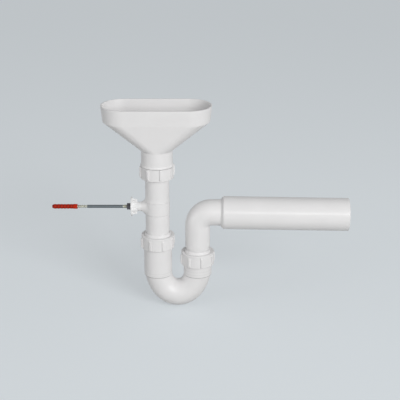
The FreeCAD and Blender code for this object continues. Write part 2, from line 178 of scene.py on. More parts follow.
def straight(start, along, first, second):
    """A straight path: the centre is the start plus the distance times the direction along it. A path
    turns distances into centres and two directions across it, which here stay the same."""
    def path(distance):
        centre = np.array(start) + distance[:, None] * np.array(along)
        return centre, np.tile(first, (len(distance), 1)), np.tile(second, (len(distance), 1))
    return path


def upright(x, z, way=1.0):
    """A straight path from a point on the plane of the trap, up for way 1 and down for way -1."""
    return straight((x, 0.0, z), (0.0, 0.0, way), (way, 0.0, 0.0), (0.0, 1.0, 0.0))


def carried(radius, distance, path, turn):
    """A ring carried along a path: the point at angle t is the path's centre, plus the radius times
    cos t along the first direction across it and sin t along the second. The radius has one value
    for each distance, or one for each distance and angle."""
    centre, first, second = path(distance)
    ring = np.cos(turn)[None, :, None] * first[:, None] + np.sin(turn)[None, :, None] * second[:, None]
    return centre[:, None] + np.reshape(radius, (len(distance), -1))[:, :, None] * ring


def around(count):
    """Evenly spaced angles once round."""
    return np.arange(count) * 2 * np.pi / count


def skinned(name, grid, material, node, ring=True, painted_shade=0.0, polish=0.0):
    """A closed skin on a grid of points in millimetres, standing for a CAD node. Each cell is a
    face; the last column joins the first, and so does the last row where the skin is a ring.
    Points that coincide, as at a pole, are merged. The painted shade and the polish have a value for each
    row."""
    weld = 0.0005 * MM
    rows, columns = grid.shape[:2]
    index = np.arange(rows * columns).reshape(rows, columns)
    low = index if ring else index[:-1]
    high = np.roll(index, -1, 0) if ring else index[1:]
    faces = np.stack([low, np.roll(low, -1, 1), np.roll(high, -1, 1), high], -1).reshape(-1, 4)
    mesh = bpy.data.meshes.new(name)
    mesh.from_pydata(grid.reshape(-1, 3) * MM, [], faces)
    # The painted shade goes in as a point attribute, beside the polish.
    for mark, by_row in (("painted_shade", painted_shade), ("polish", polish)):
        values = np.broadcast_to(np.reshape(by_row, (-1, 1)), (rows, columns)).astype(np.float32)
        mesh.attributes.new(mark, "FLOAT", "POINT").data.foreach_set("value", values.ravel())
    welded = bmesh.new()
    welded.from_mesh(mesh)
    bmesh.ops.remove_doubles(welded, verts=welded.verts, dist=weld)
    welded.to_mesh(mesh)
    welded.free()
    mesh.polygons.foreach_set("use_smooth", np.ones(len(mesh.polygons), bool))
    mesh.materials.append(material)
    piece = bpy.data.objects.new(name, mesh)
    bpy.context.collection.objects.link(piece)
    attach(piece, "root")
    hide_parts(node)


# Polypropylene straight from the mould: a milky white with a soft, even sheen.
# Its darkest tone is the painted shade that goes into the joints.
white_polypropylene = moulded_plastic(
    "polypropylene_moulded_white", pale="#EAE9E9", deep="#E3E2E2", painted_shade_tone="#6F6D6B", roughness=0.40)

pipe_outline = filled(eased([
    (pipe_bore_r, pipe_low, edge_cut), (pipe_r, pipe_low, end_cut),
    (pipe_r, -band_half - joint_width, step_cut),
    (pipe_r - joint_depth, -band_half - joint_width, floor_cut),
    (pipe_r - joint_depth, -band_half, floor_cut), (band_r, -band_half, lip_cut),
    (band_r, band_half - joint_width, lip_cut),
    (pipe_r - upper_joint_depth, band_half - joint_width, floor_cut),
    (pipe_r - upper_joint_depth, band_half, floor_cut), (band_r, band_half, lip_cut),
    (pipe_r, band_half + band_bevel, bevel_cut),
    (pipe_r, pipe_high, end_cut), (pipe_bore_r, pipe_high, edge_cut),
]), pipe_row_step)
pipe_wall_r, pipe_z = pipe_outline[:, 0], pipe_outline[:, 1]
# Painted shade on the joints' floors, below the pipe's skin, darker in the lower joint than the upper one.
below_skin = (pipe_wall_r < pipe_r - lip_cut) & (pipe_wall_r > pipe_bore_r + end_cut)
in_joint = below_skin & (np.abs(pipe_z) < band_half + 2 * joint_width)
skinned("standpipe", carried(pipe_wall_r, pipe_z, upright(pipe_x, 0.0), around(pipe_columns)),
        white_polypropylene, "inlet_pipe",
        painted_shade=np.where(pipe_z < 0, joint_shade, upper_joint_shade) * in_joint)

# Boss on the standpipe. Moulded on the band, it flares from a narrow waist into the pipe's wall, and
# its peg is pressed into the bracket.
boss_face_x = 105.5
boss_tip_r = 7.8
boss_tip_ease = 0.1
boss_root_r = 13.4
boss_sink = 0.12
boss_hem = 0.7
boss_hem_depth = 1.0
boss_columns = 96
flare_start = 0.02
flare_rows = 36
flare_power = 1.6
peg_r = 4.5
peg_chamfer = 0.4
peg_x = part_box("inlet_pipe")[0][0] / MM


def boss_skin(turn):
    """The boss over (ring, turn). The first rings are the peg and the face. From there the radius
    grows by its spread times the share of the way to the band's wall, raised to a power, so that
    it leaves the bracket level and meets the wall at a slant. The last rings turn in under it."""
    face = np.array([
        (0, peg_x), (peg_r - peg_chamfer, peg_x), (peg_r, peg_x + peg_chamfer), (peg_r, boss_face_x),
        (boss_tip_r - edge_cut, boss_face_x), (boss_tip_r - boss_tip_ease, boss_face_x + boss_tip_ease / 2)])
    way = np.linspace(flare_start, 1, flare_rows)[:, None]
    flare_r = boss_tip_r + (boss_root_r - boss_tip_r) * way ** flare_power
    wall = pipe_x - np.sqrt(band_r ** 2 - (boss_root_r * np.cos(turn)) ** 2) + boss_sink
    flare_x = boss_face_x + (wall - boss_face_x) * way
    hem_x = np.stack([wall + boss_hem, np.full_like(turn, pipe_x - pipe_r + boss_hem_depth)])
    radius = np.concatenate([face[:, :1], flare_r, [[boss_root_r], [0.0]]])
    x = np.concatenate([np.tile(face[:, 1:], len(turn)), flare_x, hem_x])
    return np.stack([x, radius * np.cos(turn), radius * np.sin(turn)], -1)


skinned("standpipe_boss", boss_skin(around(boss_columns)),
        white_polypropylene, "inlet_pipe", ring=False)

# Wall bracket. A separate moulding in a harder, brighter plastic: a round flange, eight gussets and
# a hub, pressed on the boss's peg and bored for a brass insert.
bracket_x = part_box("wall_bracket")[0][0] / MM
bracket_length = 16.6
bracket_row_step = 0.5
flange_r = 16.2
flange_thick = 2.4
hub_r = 7.6
hub_end = 13.6
gusset_count = 8
gusset_root_r = 13.4
gusset_end_r = 11.8
gusset_end = 10.6
gusset_half = 1.0
insert_room_r = 4.35
insert_room = 10.0
peg_room_r = 4.6
peg_room = 12.0

# More cuts: a soft inner corner, a root, and the hub's shoulder.
soft_cut = 0.2
root_cut = 0.4
hub_cut = 0.8


def lying(x):
    """A straight path along +X on the bolt's axis."""
    return straight((x, 0.0, 0.0), (1.0, 0.0, 0.0), (0.0, 1.0, 0.0), (0.0, 0.0, 1.0))


def bladed(count, first, tip_half, root_half):
    """Angles once round for blades that stand out from a round body, and how far out each angle is:
    1 on a blade's top, 0 between the blades, and along its side an S-curve of the angle, three
    times its square less twice its cube. The angles crowd at the blades' edges."""
    top_steps, side_steps, gap_steps, crowding = 4, 9, 9, 1.5
    half_pitch = np.pi / count
    top = np.linspace(0, tip_half, top_steps)
    side = np.linspace(tip_half, root_half, side_steps)[1:]
    between = root_half + (half_pitch - root_half) * np.linspace(0, 1, gap_steps)[1:] ** crowding
    one = np.concatenate([top, side, between])
    share = np.clip((root_half - one) / (root_half - tip_half), 0, 1)
    share = share ** 2 * (3 - 2 * share)
    one = np.concatenate([-one[:0:-1], one[:-1]])
    share = np.concatenate([share[:0:-1], share[:-1]])
    turn = first + np.arange(count)[:, None] * 2 * half_pitch + one
    return turn.ravel(), np.tile(share, count)


# Acetal: a clearer white, with a tighter sheen on its edges.
# Its darkest tone is a painted shade colour, which none of the bracket's rows use.
bracket_plastic = moulded_plastic(
    "acetal_moulded_white", pale="#F0F0F0", deep="#EAEAEA", painted_shade_tone="#8C8A88", roughness=0.32)

bracket_outline = filled(eased([
    (0.0, insert_room, 0.0), (insert_room_r, insert_room, soft_cut), (insert_room_r, 0.0, edge_cut),
    (flange_r, 0.0, end_cut), (flange_r, flange_thick, end_cut), (hub_r, flange_thick, root_cut),
    (hub_r, hub_end, hub_cut), (boss_tip_r, bracket_length, soft_cut),
    (peg_room_r, bracket_length, edge_cut), (peg_room_r, peg_room, soft_cut), (0.0, peg_room, 0.0),
]), bracket_row_step)
gusset_turn, gusset_share = bladed(
    gusset_count, np.pi / gusset_count,
    np.arcsin(gusset_half / gusset_root_r), np.arcsin(gusset_half / hub_r))
bracket_r, bracket_d = bracket_outline[:, :1], bracket_outline[:, 1]
gusset_r = np.interp(
    bracket_d,
    [flange_thick - soft_cut, flange_thick,
     gusset_end - end_cut, gusset_end - floor_cut, gusset_end + soft_cut],
    [0.0, gusset_root_r, gusset_end_r, gusset_end_r - root_cut, 0.0])[:, None]
outside_bores = bracket_r > (peg_room_r + hub_r) / 2
gusset_rise = np.where(outside_bores, np.maximum(gusset_r - bracket_r, 0), 0)
skinned("wall_bracket_skin",
        carried(bracket_r + gusset_share * gusset_rise, bracket_d, lying(bracket_x), gusset_turn),
        bracket_plastic, "wall_bracket", ring=False)

# Bracket insert. A turned brass bush with the bolt's thread inside, moulded into the bracket. Its
# solid is right as it is, so it only gets its finish.
brass_mark = 0.5


def turned_metal(name, pale, deep, roughness, mark):
    """Metal with tool marks: fine bands along X, mark millimetres apart, vary its tone, its gloss
    and its relief, as a lathe's feed or a rolling die leaves them."""
    stretch = 0.15
    gloss_spread = 0.12
    mark_depth = 0.03 * MM
    material, tree, place = bare_material(name)
    narrow = add_node(tree, "ShaderNodeMapping", {"Vector": place, "Scale": (1.0, stretch, stretch)})
    marks = add_node(tree, "ShaderNodeTexNoise", {
        "Vector": narrow.outputs["Vector"], "Scale": 1 / (mark * MM), "Detail": 3.0})
    tone = add_node(tree, "ShaderNodeMix", {0: marks.outputs["Fac"], 6: linear(deep), 7: linear(pale)},
                    data_type="RGBA")
    gloss = add_node(tree, "ShaderNodeMapRange", {
        "Value": marks.outputs["Fac"],
        "To Min": roughness + gloss_spread, "To Max": roughness - gloss_spread})
    relief = add_node(tree, "ShaderNodeBump", {
        "Height": marks.outputs["Fac"], "Strength": 0.2, "Distance": mark_depth})
    surface = add_node(tree, "ShaderNodeBsdfPrincipled", {
        "Base Color": tone.outputs[2], "Roughness": gloss.outputs["Result"],
        "Normal": relief.outputs["Normal"], "Metallic": 1.0})
    add_node(tree, "ShaderNodeOutputMaterial", {"Surface": surface.outputs["BSDF"]})
    return material


# Turned brass: a warm yellow with fine bright rings.
brass = turned_metal("brass_turned", pale="#C7A35A", deep="#A88442", roughness=0.32, mark=brass_mark)
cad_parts["bracket_insert"].material_slots[0].material = brass

# Hanger bolt. Rolled from zinc-plated steel: a coarse wood thread with a point in the plug, a plain
# shank, and an M6 thread that is screwed into the brass insert.
bolt_low, bolt_high = (corner[0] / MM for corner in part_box("hanger_bolt"))
bolt_end_r = 1.9
bolt_chamfer = 0.8
bolt_columns = 48
bolt_mark = 1.2
point_r = 0.3
point_shoulder = 0.3
point_shoulder_r = 0.5
point_length = 6.0
wood_end = 16.0
wood_crest_r = 2.95
wood_root_r = 1.9
wood_pitch = 3.2
wood_flank = 0.30
wood_fade = 1.4
wood_rows = 240
shank_r = 2.65
shank_margin = 1.0
shank_rows = 24
neck_on_thread = 0.4
neck_on_shank = 0.6
screw_start = 75.9
screw_crest_r = 3.0
screw_root_r = 2.45
screw_pitch = 1.0
screw_flank = 0.45
screw_flat = 0.15
screw_fade = 1.0
screw_rows = 260
thread_gap = 0.2


def hanger_bolt_radius(distance, turn):
    """Radius over (distance, turn). Each thread is a ridge that climbs one pitch a turn: its height
    at a place falls evenly to nothing over a share of the pitch either side of the crest. Threads
    fade in over about a millimetre at their ends, and the wood thread narrows to the point."""
    core = np.interp(
        distance,
        [bolt_low, bolt_low + point_shoulder, bolt_low + point_length, wood_end - neck_on_thread,
         wood_end + neck_on_shank, screw_start - neck_on_shank, screw_start + neck_on_thread,
         bolt_high - bolt_chamfer, bolt_high],
        [point_r, point_shoulder_r, wood_root_r, wood_root_r,
         shank_r, shank_r, screw_root_r, screw_root_r, bolt_end_r])
    wood_stop = wood_end - thread_gap
    wood = (wood_crest_r - wood_root_r) * np.interp(
        distance, [bolt_low + neck_on_thread, bolt_low + point_length, wood_stop - wood_fade, wood_stop],
        [0, 1, 1, 0])
    screw_stop = bolt_high - thread_gap
    screw = (screw_crest_r - screw_root_r) * np.interp(
        distance, [screw_start, screw_start + screw_fade, screw_stop - screw_fade, screw_stop], [0, 1, 1, 0])
    lag = turn / (2 * np.pi)
    wood_from_crest = np.abs((distance[:, None] / wood_pitch - lag) % 1 - 0.5)
    screw_from_crest = np.abs((distance[:, None] / screw_pitch - lag) % 1 - 0.5)
    wood_ridge = np.clip(1 - wood_from_crest / wood_flank, 0, 1)
    screw_ridge = np.clip(1 + screw_flat - screw_from_crest / screw_flank, 0, 1)
    return core[:, None] + wood[:, None] * wood_ridge + screw[:, None] * screw_ridge


def zinc_plated(name, bright, dull, drawn):
    """Zinc-plated steel: passivated to a dull grey on the drawn shank, while the rolled threads at
    both ends are paler, a tone that is partly a painted highlight for the light their crests
    catch. The two are told apart by their place along the bolt."""
    fade = 0.5 * MM
    material = turned_metal(name, bright, dull, roughness=0.38, mark=bolt_mark)
    tree = material.node_tree
    surface = next(node for node in tree.nodes if node.type == "BSDF_PRINCIPLED")
    rolled = surface.inputs["Base Color"].links[0].from_socket
    place = next(node for node in tree.nodes if node.type == "TEX_COORD").outputs["Object"]
    along = add_node(tree, "ShaderNodeSeparateXYZ", {"Vector": place}).outputs["X"]
    middle = 0.5 * (wood_end + screw_start) * MM
    from_middle = add_node(tree, "ShaderNodeMath", {0: along, 1: middle}, operation="SUBTRACT").outputs[0]
    away = add_node(tree, "ShaderNodeMath", {0: from_middle}, operation="ABSOLUTE").outputs[0]
    half = 0.5 * (screw_start - wood_end) * MM
    shank = add_node(tree, "ShaderNodeMapRange", {
        "Value": away, "From Min": half - fade, "From Max": half + fade, "To Min": 1.0, "To Max": 0.0})
    tone = add_node(tree, "ShaderNodeMix", {0: shank.outputs["Result"], 6: rolled, 7: linear(drawn)},
                    data_type="RGBA")
    tree.links.new(tone.outputs[2], surface.inputs["Base Color"])
    return material


# The threads' bright tone is partly the plating and partly a painted highlight.
bolt_zinc = zinc_plated("steel_zinc_plated_bolt", bright="#D3D3C6", dull="#A9A99D", drawn="#757C80")

shank_from = wood_end + shank_margin
shank_to = screw_start - shank_margin
bolt_d = np.concatenate([
    [bolt_low], np.linspace(bolt_low, shank_from, wood_rows),
    np.linspace(shank_from, shank_to, shank_rows)[1:-1],
    np.linspace(shank_to, bolt_high, screw_rows), [bolt_high]])
bolt_turn = around(bolt_columns)
bolt_r = hanger_bolt_radius(bolt_d, bolt_turn)
bolt_r[[0, -1]] = 0.0
skinned("hanger_bolt_rolled", carried(bolt_r, bolt_d, lying(0.0), bolt_turn),
        bolt_zinc, "hanger_bolt", ring=False)

# Washer and lock nut. A stamped washer and an M6 hexagon nut, zinc plated and dark, turned up
# against the bracket's flange.
thread_room_r = 3.05
washer_low, washer_high = (corner[0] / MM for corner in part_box("washer"))
washer_r = 6.0
washer_row_step = 1.0
washer_columns = 72
nut_low, nut_high = (corner[0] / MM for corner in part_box("lock_nut"))
nut_flat_r = 5.0
nut_face_r = 4.9
nut_corner_r = 6.0
nut_row_step = 0.15
dark_zinc_mark = 0.9
sharp_cut = 0.05

# Zinc plating gone dark: a bluish grey with a broken gleam.
dark_zinc = turned_metal(
    "steel_zinc_plated_dark", pale="#747378", deep="#545359", roughness=0.36, mark=dark_zinc_mark)

washer_outline = filled(eased([
    (thread_room_r, washer_low, lip_cut), (washer_r, washer_low, edge_cut),
    (washer_r, washer_high, soft_cut), (thread_room_r, washer_high, lip_cut),
]), washer_row_step)
skinned("washer_stamped",
        carried(washer_outline[:, 0], washer_outline[:, 1], lying(0.0), around(washer_columns)),
        dark_zinc, "washer")


def lock_nut_radius(outline, turn):
    """Radius over (outline row, turn): inside, the plain thread room; outside, a hexagon, which is
    the flat's distance over the cosine of the angle from the flat's middle, held below the cone
    that chamfers both ends at 30 degrees."""
    hexagon = nut_flat_r / np.cos((turn + np.pi / 6) % (np.pi / 3) - np.pi / 6)
    from_end = np.minimum(outline[:, 1] - nut_low, nut_high - outline[:, 1])
    cone = nut_face_r + from_end[:, None] * np.sqrt(3)
    outside = np.minimum(np.minimum(hexagon, cone), outline[:, :1])
    return np.where(outline[:, :1] > nut_face_r - soft_cut, outside, outline[:, :1])


# Angles in degrees from a flat's middle, which crowd at the hexagon's corners.
hex_half = np.radians([0, 8, 16, 22, 26, 28, 29, 29.6])
hex_turn = (np.arange(6)[:, None] * np.pi / 3 + np.concatenate([-hex_half[:0:-1], hex_half])).ravel()
nut_outline = filled(eased([
    (thread_room_r, nut_low, soft_cut), (nut_corner_r, nut_low, sharp_cut),
    (nut_corner_r, nut_high, sharp_cut), (thread_room_r, nut_high, soft_cut),
]), nut_row_step)
skinned("lock_nut_hexagon",
        carried(lock_nut_radius(nut_outline, hex_turn), nut_outline[:, 1], lying(0.0), hex_turn),
        dark_zinc, "lock_nut")

# Wall plug. Moulded from red nylon and pushed into the drilled wall: plain at its mouth, then saw
# teeth that point back, a slit that lets it spread, and a rounded tip.
plug_low, plug_high = (corner[0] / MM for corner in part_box("wall_plug"))
plug_r = 4.0
plug_plain = 7.0
plug_tip = 3.0
plug_tip_r = 2.6
plug_tip_cut = 1.2
plug_teeth = 6
plug_row_step = 0.7
tooth_depth = 0.6
tooth_rise = 1.6
tooth_crest_cut = 1.0
# Painted shade in the grooves between the teeth, as a share of the shade tone.
groove_shade = 0.62
plug_bore_r = 2.7
plug_bore_end = -36.1
mouth_cut = 0.25
slit_half = 0.45
slit_low, slit_high = -39.0, -9.0
slit_floor_r = 2.9

# Nylon coloured right through: a deep, warm red. A low index keeps the grey sheen off it.
red_nylon = moulded_plastic(
    "nylon_moulded_red", pale="#C22A02", deep="#A81E01", painted_shade_tone="#580B01", roughness=0.45, ior=1.27)

teeth_start = plug_high - plug_plain
tooth_pitch = (teeth_start - plug_low - plug_tip) / plug_teeth
tooth_root = teeth_start - np.arange(plug_teeth)[::-1] * tooth_pitch
tooth_crest = tooth_root - tooth_pitch + tooth_rise
each_tooth = np.ones(plug_teeth)
teeth = np.stack([
    np.stack([plug_r * each_tooth, tooth_crest, tooth_crest_cut * each_tooth], 1),
    np.stack([(plug_r - tooth_depth) * each_tooth, tooth_root, edge_cut * each_tooth], 1),
], 1).reshape(-1, 3)
plug_outline = filled(eased([
    (0.0, plug_low, 0.0), (plug_tip_r, plug_low, plug_tip_cut), *teeth.tolist(),
    (plug_r, teeth_start, lip_cut), (plug_r, plug_high, edge_cut), (plug_bore_r, plug_high, mouth_cut),
    (plug_bore_r, plug_bore_end, edge_cut), (0.0, plug_bore_end, 0.0),
]), plug_row_step)
slit_turn, slit_share = bladed(
    2, np.pi / 2, np.arcsin(slit_half / plug_r), np.arcsin(slit_half / plug_bore_r))
plug_wall_r, plug_d = plug_outline[:, 0], plug_outline[:, 1]
plug_outside = plug_wall_r > slit_floor_r
in_slit = plug_outside & (plug_d > slit_low) & (plug_d < slit_high)
slit_depth = np.where(in_slit, plug_wall_r - slit_floor_r, 0)[:, None]
# The teeth's grooves get painted shade, deepest at their roots.
in_groove = np.clip((plug_r - plug_wall_r) / tooth_depth, 0, 1) * plug_outside
skinned("wall_plug_split",
        carried(plug_wall_r[:, None] - slit_share * slit_depth, plug_d, lying(0.0), slit_turn),
        red_nylon, "wall_plug", ring=False, painted_shade=groove_shade * in_groove)

# U-bend. One moulding in the same white polypropylene: two socket legs, whose threaded ends the nuts
# screw on, and between their feet a run of tube that leans in under each leg and turns up below.
leg_gap = 66.8
leg_x = pipe_x + leg_gap
lean_top = -113.0
lean_r = 55.0
lean = np.radians(30.0)
lean_length = lean_r * lean
low_r = (leg_gap / 2 - lean_r * (1 - np.cos(lean))) / np.cos(lean)
low_length = low_r * (np.pi - 2 * lean)
run_length = 2 * lean_length + low_length
run_r = 22.25
run_bore_r = 19.25
run_seat_r = 20.6
run_seat = 6.0
run_fuller = 1.0
run_leaner = 1.0
run_row_step = 1.6
socket_r = 23.5
socket_bore_r = 20.3
socket_foot = -121.2
socket_row_step = 0.5
foot_joint = 1.0
foot_joint_depth = 0.4
# Painted shade: a dark band in the foot's joint, and faint dark lines round each socket at the ring heights
# above its foot.
foot_joint_shade = 0.55
ring_shade = 0.12
ring_width = 0.35
inlet_rings = (3.6, 7.2)
outlet_rings = (5.4, 10.6)
male_r = 23.9
male_seat_r = 22.82
male_seat = 5.81
male_length = 16.5
male_slope = 0.6
inlet_end = -55.3
outlet_end = -85.6


def u_path(distance):
    """Three arcs from foot to foot: the heading grows by the distance over the radius of the arc that
    it lies in, and each arc moves the centre by its radius times the change of the heading's
    cosine across and of its sine down."""
    ends = np.array([0, lean_length, lean_length + low_length, run_length])
    x = np.full_like(distance, pipe_x)
    z = np.full_like(distance, lean_top)
    heading = np.zeros_like(distance)
    for arc_start, arc_end, radius in zip(ends[:-1], ends[1:], (lean_r, low_r, lean_r)):
        turned_on = heading + (np.clip(distance, arc_start, arc_end) - arc_start) / radius
        x = x + radius * (np.cos(heading) - np.cos(turned_on))
        z = z - radius * (np.sin(turned_on) - np.sin(heading))
        heading = turned_on
    zero = np.zeros_like(heading)
    first = np.stack([-np.cos(heading), zero, -np.sin(heading)], 1)
    return np.stack([x, zero, z], 1), first, np.tile([0.0, 1.0, 0.0], (len(heading), 1))


def run_radius(outline, turn):
    """Radius over (outline row, turn). The outer wall is fuller on the inside of the U, by the squared
    sine of half a turn along the run, and leaner on its outside, by that of a whole turn, so it
    is deepest at the lowest point and slimmest on the two slants."""
    share = outline[:, 1:] / run_length
    inside = np.sin(np.pi * share) ** 2 * (0.5 - 0.5 * np.cos(turn)) ** 2
    outside = np.sin(2 * np.pi * share) ** 2 * (0.5 + 0.5 * np.cos(turn)) ** 2
    shaped = run_fuller * inside - run_leaner * outside
    return outline[:, :1] + np.where(outline[:, :1] > run_r - edge_cut, shaped, 0)


run_outline = filled(eased([
    (run_seat_r, 0.0, soft_cut), (run_r, 0.0, soft_cut),
    (run_r, run_length, soft_cut), (run_seat_r, run_length, soft_cut),
    (run_seat_r, run_length - run_seat, soft_cut), (run_bore_r, run_length - run_seat, soft_cut),
    (run_bore_r, run_seat, soft_cut), (run_seat_r, run_seat, soft_cut),
]), run_row_step)
run_turn = around(pipe_columns)
skinned("u_bend_run", carried(run_radius(run_outline, run_turn), run_outline[:, 1], u_path, run_turn),
        white_polypropylene, "trap_bend")

for leg, x, end_z, rings in (("inlet", pipe_x, inlet_end, inlet_rings),
                             ("outlet", leg_x, outlet_end, outlet_rings)):
    top = end_z - socket_foot
    foot_joint_r = socket_r - foot_joint_depth
    socket_outline = filled(eased([
        (socket_bore_r, 0.0, edge_cut), (foot_joint_r, 0.0, lip_cut),
        (foot_joint_r, foot_joint, lip_cut), (socket_r, foot_joint, soft_cut),
        (socket_r, top - male_length - male_slope, edge_cut), (male_r, top - male_length, edge_cut),
        (male_r, top, edge_cut), (male_seat_r, top, soft_cut), (socket_bore_r, top - male_seat, edge_cut),
    ]), socket_row_step)
    socket_wall_r, socket_d = socket_outline[:, 0], socket_outline[:, 1]
    # Painted shade on the socket's outside: thin rings and the foot's joint.
    on_rings = ring_shade * np.exp(-((socket_d[:, None] - rings) / ring_width) ** 2).sum(1)
    in_foot_joint = foot_joint_shade * (socket_d < foot_joint + sharp_cut)
    outside = socket_wall_r > foot_joint_r - floor_cut
    skinned(f"u_bend_{leg}_socket",
            carried(socket_wall_r, socket_d, upright(x, socket_foot), around(pipe_columns)),
            white_polypropylene, "trap_bend",
            painted_shade=outside * np.maximum(on_rings, in_foot_joint))

# Cone seals. Soft black rubber rings that the nuts squeeze against the pipes. Their solids are
# right as they are, so they only get their finish.


def cured_rubber(name, deep, bloomed):
    """Moulded rubber: near black, matt, with a faint bloom in patches of a few millimetres and a fine
    grain, drawn at half a millimetre."""
    bloom_size = 4 * MM
    grain_size = 0.5 * MM
    grain_depth = 0.05 * MM
    material, tree, place = bare_material(name)
    bloom = add_node(tree, "ShaderNodeTexNoise", {"Vector": place, "Scale": 1 / bloom_size, "Detail": 4.0})
    grain = add_node(tree, "ShaderNodeTexNoise", {"Vector": place, "Scale": 1 / grain_size})
    tone = add_node(tree, "ShaderNodeMix", {0: bloom.outputs["Fac"], 6: linear(deep), 7: linear(bloomed)},
                    data_type="RGBA")
    relief = add_node(tree, "ShaderNodeBump", {
        "Height": grain.outputs["Fac"], "Strength": 0.3, "Distance": grain_depth})
    surface = add_node(tree, "ShaderNodeBsdfPrincipled", {
        "Base Color": tone.outputs[2], "Normal": relief.outputs["Normal"], "Roughness": 0.68, "IOR": 1.52})
    add_node(tree, "ShaderNodeOutputMaterial", {"Surface": surface.outputs["BSDF"]})
    return material


seal_rubber = cured_rubber("epdm_rubber_black", deep="#161617", bloomed="#2A2A2B")
for seal in ("funnel_seal", "inlet_seal", "outlet_seal"):
    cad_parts[seal].material_slots[0].material = seal_rubber

# Coupling nuts. Three white polypropylene compression nuts with eight ribs to grip. The U-bend's two
# have a smooth shoulder and a tapered lip round the pipe; the funnel's hangs with its mouth up.
nut_bore_r = 24.1
nut_panel_r = 27.1
nut_shoulder_r = 27.6
nut_hole_r = 20.5
coupling_row_step = 0.8
rib_count = 8
rib_half = 1.8
rib_draft = 0.2
rib_foot_r = 25.1
rib_tip_r = 29.4
rib_slope = 2.0
rib_round = 0.6
rib_ease = 0.35


def coupling_nut(name, node, path, corners, ribs_from, ribs_to, rib_turn):
    """A closed outline turned about the pipe, with the ribs added to its outer wall: between two
    distances from the mouth a rib stands at its tip radius, sloping off at its far end, and its
    sides follow the S-curve of the angle. One rib stands rib_turn degrees from the nut's front."""
    outline = filled(eased(corners), coupling_row_step)
    turn, share = bladed(rib_count, np.radians(rib_turn - 90), np.arcsin((rib_half - rib_draft) / rib_tip_r),
                         np.arcsin((rib_half + rib_draft) / nut_panel_r))
    base, distance = outline[:, :1], outline[:, 1]
    rib_r = np.interp(
        distance,
        [ribs_from - sharp_cut, ribs_from, ribs_from + rib_round - rib_ease, ribs_from + rib_round,
         ribs_to - rib_slope, ribs_to, ribs_to + soft_cut],
        [0.0, nut_panel_r, rib_tip_r - rib_ease, rib_tip_r, rib_tip_r, rib_tip_r - rib_slope, 0.0])
    rise = np.where(base > rib_foot_r, np.maximum(rib_r[:, None] - base, 0), 0)
    skinned(name, carried(base + share * rise, distance, path, turn),
            white_polypropylene, node)


inlet_mouth = -71.7
inlet_rib_turn = -25.0
outlet_mouth = -102.0
outlet_rib_turn = -30.5
trap_ribs_from = 1.6
trap_ribs_to = 19.3
trap_nut_bevel = 1.12
trap_nut_top = 22.4
trap_nut_depth = 20.4
crease_floor = trap_nut_top - joint_depth
lip_top = 27.2
lip_root_r = 22.2
lip_tip_r = 21.1
trap_nut_corners = [
    (nut_bore_r, 0.0, edge_cut), (nut_panel_r, 0.0, edge_cut), (nut_shoulder_r, trap_nut_bevel, mouth_cut),
    (nut_shoulder_r, trap_ribs_from, step_cut), (nut_panel_r, trap_ribs_from, step_cut),
    (nut_panel_r, trap_ribs_to, step_cut), (nut_shoulder_r, trap_ribs_to, soft_cut),
    (nut_shoulder_r, trap_nut_top, hub_cut), (lip_root_r + joint_width, trap_nut_top, lip_cut),
    (lip_root_r + joint_width, crease_floor, floor_cut), (lip_root_r, crease_floor, floor_cut),
    (lip_root_r, trap_nut_top, edge_cut), (lip_tip_r, lip_top, mouth_cut), (nut_hole_r, lip_top, lip_cut),
    (nut_hole_r, trap_nut_depth, soft_cut), (nut_bore_r, trap_nut_depth, edge_cut),
]
coupling_nut("inlet_nut_ribbed", "inlet_nut", upright(pipe_x, inlet_mouth),
             trap_nut_corners, trap_ribs_from, trap_ribs_to, inlet_rib_turn)
coupling_nut("outlet_nut_ribbed", "outlet_nut", upright(leg_x, outlet_mouth),
             trap_nut_corners, trap_ribs_from, trap_ribs_to, outlet_rib_turn)

funnel_nut_mouth = 72.0
funnel_rib_turn = 31.0
funnel_ribs_to = 19.0
funnel_nut_top = 20.1
funnel_nut_depth = 17.7
funnel_nut_corners = [
    (nut_bore_r, 0.0, edge_cut), (nut_panel_r, 0.0, edge_cut),
    (nut_panel_r, funnel_ribs_to, lip_cut), (nut_shoulder_r, funnel_ribs_to, lip_cut),
    (nut_shoulder_r, funnel_nut_top, root_cut), (nut_hole_r, funnel_nut_top, edge_cut),
    (nut_hole_r, funnel_nut_depth, edge_cut), (nut_bore_r, funnel_nut_depth, edge_cut),
]
coupling_nut("funnel_nut_ribbed", "funnel_nut", upright(pipe_x, funnel_nut_mouth, -1.0),
             funnel_nut_corners, 0.0, funnel_ribs_to, funnel_rib_turn)

# Outlet elbow. Moulded in one piece with its wide spigot: a leg for the U-bend's socket, a tight
# bend that widens a little, a short stub and a step up to the 55 mm tube, which falls by 1 degree
# and comes from a polished part of the mould, so that a light draws a line along it.
elbow_leg = 84.4
elbow_leg_low = -118.0
elbow_radius = 23.0
elbow_turn = np.radians(91.0)
elbow_growth = 2.0
elbow_swell = 0.8
elbow_swell_length = 6.0
elbow_wall = 2.0
elbow_row_step = 2.4
bend_length = elbow_radius * elbow_turn
stub_length = 15.0
reducer_length = 4.0
reducer_cut = 1.2
spigot_r = 27.5
spigot_wall = 2.5
spigot_length = 209.5
spigot_chamfer = 1.2
spigot_cut = 1.6


def elbow_path(distance):
    """Up the leg, round the bend and out along the spigot: the angle is the distance into the bend
    over its radius, and past it the centre runs on straight."""
    angle = np.clip((distance - elbow_leg) / elbow_radius, 0, elbow_turn)
    leg = np.minimum(distance, elbow_leg)
    run = np.maximum(distance - elbow_leg - bend_length, 0)
    zero = np.zeros_like(angle)
    along = np.stack([np.sin(angle), zero, np.cos(angle)], 1)
    centre = np.stack([leg_x + elbow_radius * (1 - np.cos(angle)), zero,
                       elbow_leg_low + leg + elbow_radius * np.sin(angle)], 1) + run[:, None] * along
    second = np.tile([0.0, 1.0, 0.0], (len(angle), 1))
    return centre, np.cross(second, along), second


